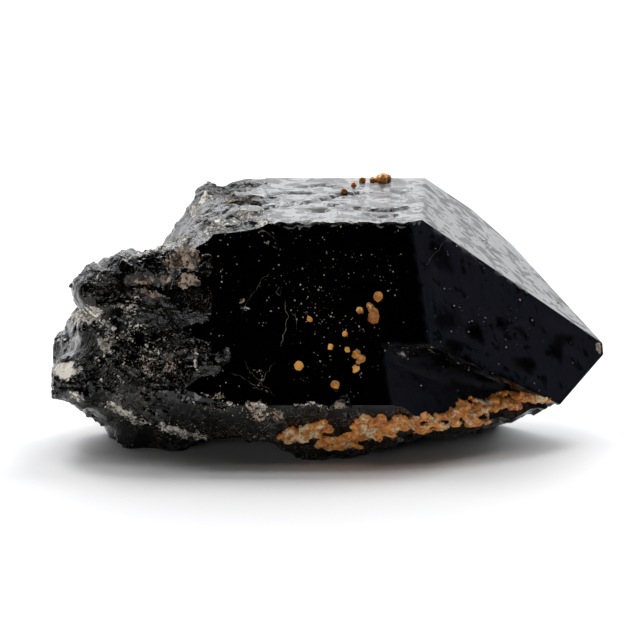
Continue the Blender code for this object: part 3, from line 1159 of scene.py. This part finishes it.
def grow_garnets(surface, dice):
    """The garnets on the front and top faces."""
    shell = bmesh.new()
    tone = shell.verts.layers.float.new("tone")
    rays = [(Vector((along, -BIG, up)), BACKWARDS, width) for along, up, width in FRONT_GRAINS]
    rays += [(Vector((along, back, BIG)), DOWN, width) for along, back, width in TOP_GRAINS]
    for eye, ahead, width in rays:
        spot, outward = surface.ray_cast(eye, ahead)[:2]
        add_nodule(shell, tone, spot + outward * width * STAND_OUT, width, dice)
    garnets = object_from("garnet_grains", shell)
    garnets.data.materials.append(garnet_material("orange_garnet", "9c5a16", "ffb34a", "f8d08c", 0.78, 0.35))
    garnets.data.shade_flat()
    return garnets


def grow_crust(surface, skin, dice):
    """The crust of grains along the lower front edge, joined to one surface."""
    shell = bmesh.new()
    for along, up, half_length, half_height in CRUST:
        for _ in range(max(6, round(half_length * half_height * CRUST_COUNT))):
            turn, reach = dice.uniform(0.0, math.tau), math.sqrt(dice.random())
            x = along + half_length * reach * math.cos(turn)
            z = up + half_height * reach * math.sin(turn)
            spot = surface.ray_cast(Vector((x, -BIG, z)), BACKWARDS)[0]
            add_crust_grain(shell, spot, CRUST_GRAIN * dice.uniform(*GRAIN_RANGE), dice)
    crust = object_from("garnet_crust", shell)
    regrid(crust, CRUST_NET)
    raise_by(crust, crust_relief)
    mesh = crust.data
    mesh.materials.append(skin)
    set_attribute(mesh, "tone", [0.5 + 0.5 * noise.noise(vert.co * 0.7) for vert in mesh.vertices])
    # Painted shade in the crust's hollows, from how far each point is sunk among its neighbours
    set_attribute(mesh, "crevice_shade", np.clip(-ridges_of(mesh) * 4.0, 0, 0.6))
    set_attribute(mesh, "mask", np.ones(len(mesh.vertices)))
    mesh.shade_smooth()
    return crust


def finish_piece(thing, replaces=False):
    """Hands a finished piece to the frame."""
    in_place(thing)
    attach(thing, "root")
    if replaces:
        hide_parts(NODE)


class CrystalSettings(bpy.types.PropertyGroup):
    """Sizes of the crystal's net."""

    grid: bpy.props.FloatProperty(
        name="Broken grid", description="Width of the net on the broken surface, in millimetres", default=0.42
    )
    spacing: bpy.props.FloatProperty(
        name="Face spacing", description="Spacing of points on the grown faces, in millimetres", default=0.7
    )


class GrainSettings(bpy.types.PropertyGroup):
    """Amounts and sizes of the small grains."""

    specks: bpy.props.FloatProperty(
        name="Pale specks", description="Specks to a square millimetre where their mask is 1", default=0.9
    )
    crumbs: bpy.props.FloatProperty(
        name="Crust crumbs", description="Crumbs to a square millimetre of the crust", default=1.0
    )
    seed: bpy.props.IntProperty(name="Seed", description="Start of the random choices", default=SEED)


class StageSettings(bpy.types.PropertyGroup):
    """The floor and lights."""

    floor: bpy.props.FloatProperty(
        name="Floor", description="Width of the floor", default=3.0, unit="LENGTH", subtype="DISTANCE"
    )
    light: bpy.props.FloatProperty(name="Light", description="Strength of all the lights", default=1.0)


class MORION_OT_crystal(bpy.types.Operator):
    """Build the black quartz crystal"""

    bl_idname = "morion.crystal"
    bl_label = "Crystal"

    def execute(self, context):
        settings = context.scene.morion_crystal
        crystal = broken_block(settings.grid)
        refine_flats(crystal, settings.spacing)
        chip_breaks(crystal)
        mark_crystal(crystal)
        crystal.data.materials.clear()
        crystal.data.materials.append(morion_material())
        crystal.data.shade_smooth()
        crystal.data.set_sharp_from_angle(angle=math.radians(SHARP_TURN))
        return {"FINISHED"}


class MORION_OT_garnets(bpy.types.Operator):
    """Build the orange garnets and the crust on the crystal"""

    bl_idname = "morion.garnets"
    bl_label = "Garnets and crust"

    def execute(self, context):
        settings = context.scene.morion_grains
        surface = surface_of(bpy.data.objects["morion_quartz"])
        garnets = grow_garnets(surface, random.Random(settings.seed))
        skin = garnet_material("crumbly_crust", "b05a18", "ffae54", "f2d4a8", 0.65, 0.45)
        crust = grow_crust(surface, skin, random.Random(SEED))
        crumbs = scatter(crust, "crust_crumbs", skin, settings.crumbs, CRUMB_SIZES, settings.seed, "mask")
        for piece in (garnets, crust, crumbs):
            finish_piece(piece)
        return {"FINISHED"}


class MORION_OT_minerals(bpy.types.Operator):
    """Strew pale specks over the crystal and lay its veins"""

    bl_idname = "morion.minerals"
    bl_label = "Specks and veins"

    def execute(self, context):
        settings = context.scene.morion_grains
        crystal = bpy.data.objects["morion_quartz"]
        surface = surface_of(crystal)
        dust = pale_material("pale_mineral", "2c2a26", "c6b89e")
        specks = scatter(crystal, "pale_specks", dust, settings.specks, SPECK_SIZES, settings.seed, "sparkle")
        threads = bmesh.new()
        tone = threads.verts.layers.float.new("tone")
        for half, *corners in VEINS:
            path = path_on(surface, corners)
            if len(path) > 2:
                add_vein(threads, tone, path, half)
        veins = object_from("mineral_veins", threads)
        veins.data.materials.append(dust)
        for piece in (specks, veins):
            finish_piece(piece)
        finish_piece(crystal, replaces=True)
        return {"FINISHED"}


def add_softbox(name, turn, height, power):
    """A square softbox aimed at the crystal, from its turn off straight behind and its height in degrees."""
    light = bpy.data.lights.new(name, "AREA")
    light.size = SOFTBOX_WIDTH
    light.energy = power
    lamp = in_scene(name, light)
    turn, height = math.radians(turn), math.radians(height)
    way = Vector((math.sin(turn) * math.cos(height), math.cos(turn) * math.cos(height), math.sin(height)))
    lamp.location = way * SOFTBOX_AWAY + HEART * MM
    lamp.rotation_euler = way.to_track_quat("Z", "Y").to_euler()


def add_camera(scene):
    """The camera at the picture's viewing angle."""
    camera = bpy.data.cameras.new("camera")
    camera.lens, camera.sensor_width = LENS, SENSOR
    camera.clip_start, camera.clip_end = 0.01, 10.0
    eye = in_scene("camera", camera)
    place = camera_matrix()
    place.translation *= MM
    eye.matrix_world = place
    scene.camera = eye


def add_studio(scene, light):
    """A white backdrop. The scene is lit by a glow behind it: strong low down, weaker left, none overhead."""
    world = bpy.data.worlds.new("studio")
    scene.world = world
    world.use_nodes = True
    world.node_tree.nodes.clear()
    t = Tree(world.node_tree)
    way = t.add("ShaderNodeSeparateXYZ", None, _0=t.add("ShaderNodeTexCoord").outputs["Generated"]).outputs
    back = t.ramp(way["Y"], 0.08, 0.6)
    low = t.ramp(way["Z"], 0.1, 0.45, 1.4, 4.2)
    high = t.ramp(way["Z"], 0.45, 0.8, light, 0.0)
    left = t.ramp(way["X"], -0.85, -0.3, 0.45, 1.0)
    glow = t.times(t.times(back, low), t.times(left, high))
    studio = t.add("ShaderNodeBackground", None, Color=(0.97, 0.98, 1.0, 1.0), Strength=glow).outputs[0]
    seen = t.add("ShaderNodeBackground", None, Color=(1.0, 1.0, 1.0, 1.0), Strength=1.0).outputs[0]
    ray = t.add("ShaderNodeLightPath").outputs["Is Camera Ray"]
    both = t.add("ShaderNodeMixShader", None, _0=ray, _1=studio, _2=seen).outputs[0]
    t.add("ShaderNodeOutputWorld", None, Surface=both)


class MORION_OT_stage(bpy.types.Operator):
    """Set up the floor, the light and the camera"""

    bl_idname = "morion.stage"
    bl_label = "Stage"

    def execute(self, context):
        scene = context.scene
        settings = scene.morion_stage
        shell = bmesh.new()
        bmesh.ops.create_grid(shell, x_segments=8, y_segments=8, size=settings.floor / 2)
        floor = object_from("floor", shell)
        floor.data.materials.append(floor_material())
        add_camera(scene)
        add_studio(scene, settings.light)
        for name, turn, height, power in SOFTBOXES:
            add_softbox(name, turn, height, power * settings.light)
        scene.view_settings.view_transform = "Standard"
        return {"FINISHED"}


class MORION_PT_panel(bpy.types.Panel):
    """Lists the steps that build the crystal"""

    bl_idname = "MORION_PT_panel"
    bl_label = "Morion quartz"
    bl_space_type = "VIEW_3D"
    bl_region_type = "UI"
    bl_category = "Morion"

    def draw(self, context):
        scene = context.scene
        for group in (scene.morion_crystal, scene.morion_grains, scene.morion_stage):
            for key in group.__annotations__:
                self.layout.prop(group, key)
        for step in STEPS:
            self.layout.operator(step.bl_idname)


GROUPS = {"morion_crystal": CrystalSettings, "morion_grains": GrainSettings, "morion_stage": StageSettings}
STEPS = (MORION_OT_crystal, MORION_OT_garnets, MORION_OT_minerals, MORION_OT_stage)


def register():
    for group in GROUPS.values():
        bpy.utils.register_class(group)
    for name, group in GROUPS.items():
        setattr(bpy.types.Scene, name, bpy.props.PointerProperty(type=group))
    for cls in (*STEPS, MORION_PT_panel):
        bpy.utils.register_class(cls)


def unregister():
    for cls in (MORION_PT_panel, *reversed(STEPS)):
        bpy.utils.unregister_class(cls)
    for name, group in GROUPS.items():
        delattr(bpy.types.Scene, name)
        bpy.utils.unregister_class(group)


def main():
    register()
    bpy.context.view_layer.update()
    bpy.ops.morion.crystal()
    bpy.ops.morion.garnets()
    bpy.ops.morion.minerals()
    bpy.ops.morion.stage()


if __name__ == "__main__":
    main()
